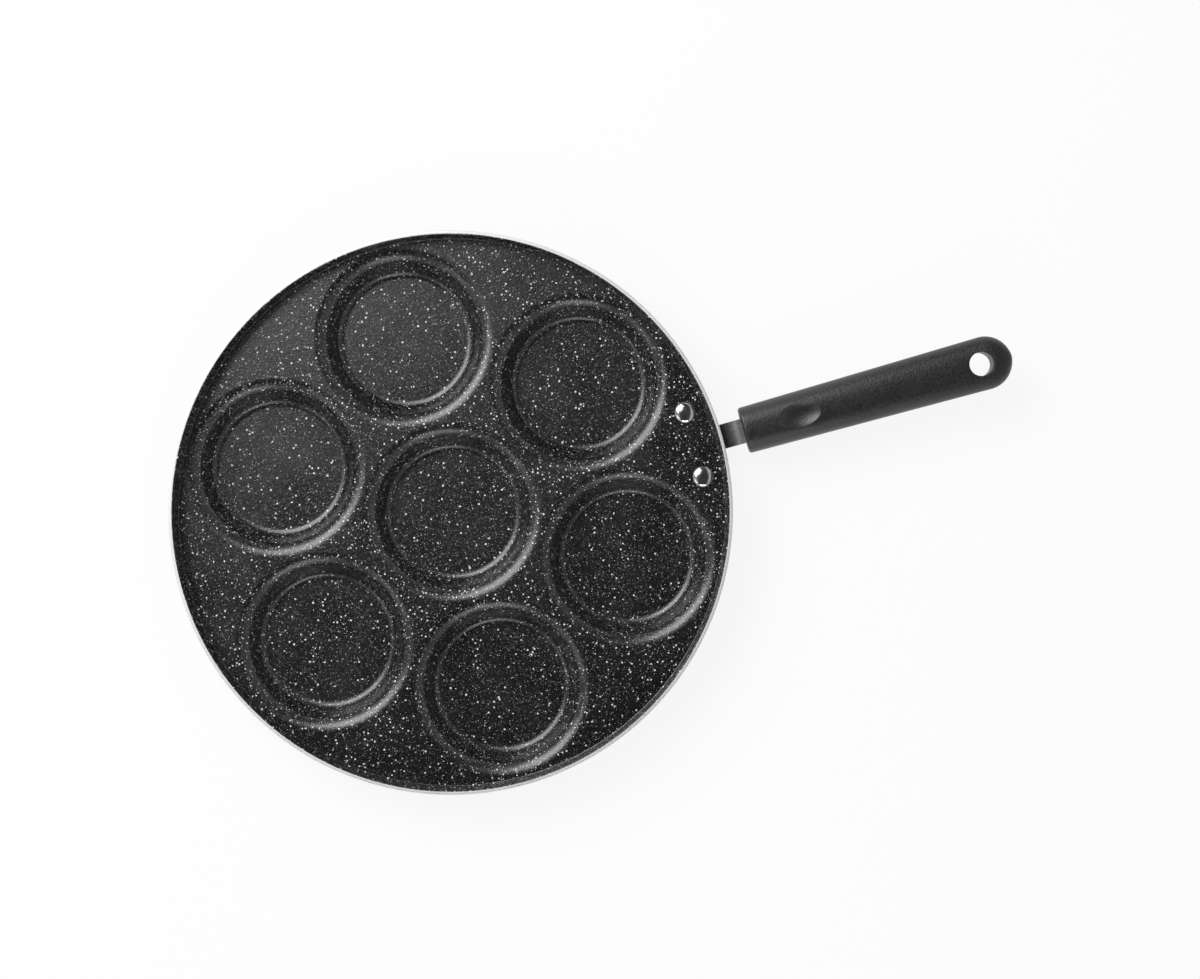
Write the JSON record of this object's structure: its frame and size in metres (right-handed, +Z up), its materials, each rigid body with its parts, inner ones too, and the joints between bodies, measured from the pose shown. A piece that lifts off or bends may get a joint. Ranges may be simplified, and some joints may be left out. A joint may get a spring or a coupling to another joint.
{
  "type": "multi-section egg pan",
  "caption": "Round coated pan pressed with flat-bottomed round wells, one in the middle and a ring about it, with a low lip and a straight riveted handle with a thumb recess and a hanging hole.",
  "frame": {"origin": "centre of the pan, on the plane that the undersides of the wells stand on", "axes": "+X from the centre of the pan along the handle, +Z up out of the wells, +Y to the left of the handle seen from the pan"},
  "size_m": [0.3677, 0.24, 0.0262],
  "materials": {
    "pan_sheet": "black speckled non-stick coating over pressed aluminium sheet, bare metal at the cut edge of the rim",
    "bracket_steel": "dull stamped steel",
    "rivet_metal": "polished",
    "grip_moulding": "satin black moulded heat-resistant plastic",
    "screw_steel": "zinc plated"
  },
  "bodies": {
    "root": {"pan_body": "pan_sheet", "handle_bracket": "bracket_steel", "rivet_left": "rivet_metal", "rivet_right": "rivet_metal", "handle_grip": "grip_moulding", "handle_screw": "screw_steel"}
  },
  "joints": []
}
